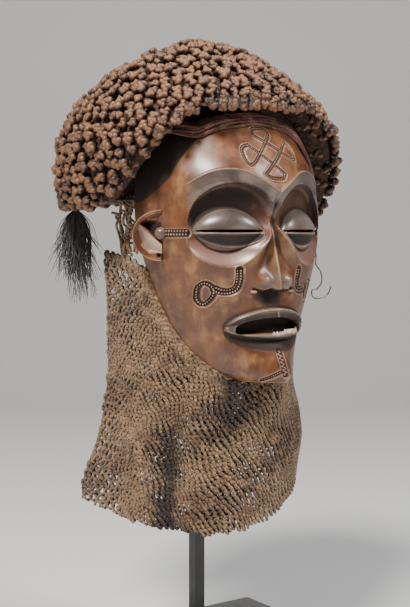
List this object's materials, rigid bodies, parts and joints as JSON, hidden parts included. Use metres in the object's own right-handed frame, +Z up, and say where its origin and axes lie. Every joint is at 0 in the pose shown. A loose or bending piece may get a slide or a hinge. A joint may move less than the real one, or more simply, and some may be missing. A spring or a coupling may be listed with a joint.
{
  "type": "chokwe mwana pwo mask",
  "caption": "Carved wooden face mask with a knotted fibre coiffure, corded headband and netted collar, held up on a black post and foot.",
  "frame": {"origin": "middle of the foot's underside, on the surface that the stand stands on", "axes": "+Z up along the post; the mask faces -Y, and +X is to its own left"},
  "size_m": [0.2483, 0.2367, 0.555],
  "materials": {
    "carved_wood": "hand-rubbed, glossy on the raised forms",
    "knotted_fibre": "knotted plant fibre coated in red earth and oil",
    "band_fibre": "twisted cords, matte",
    "net_fibre": "looped netting, matte",
    "dark_fibre": "loose strands, matte",
    "iron_wire": "dull, tarnished",
    "black_steel": "satin black",
    "black_wood": "satin black lacquer"
  },
  "bodies": {
    "root": {"wooden_face": "carved_wood", "coiffure": "knotted_fibre", "headband": "band_fibre", "net_collar": "net_fibre", "fibre_tuft": "dark_fibre", "ear_wire": "iron_wire", "stand_post": "black_steel", "stand_foot": "black_wood"}
  },
  "joints": []
}
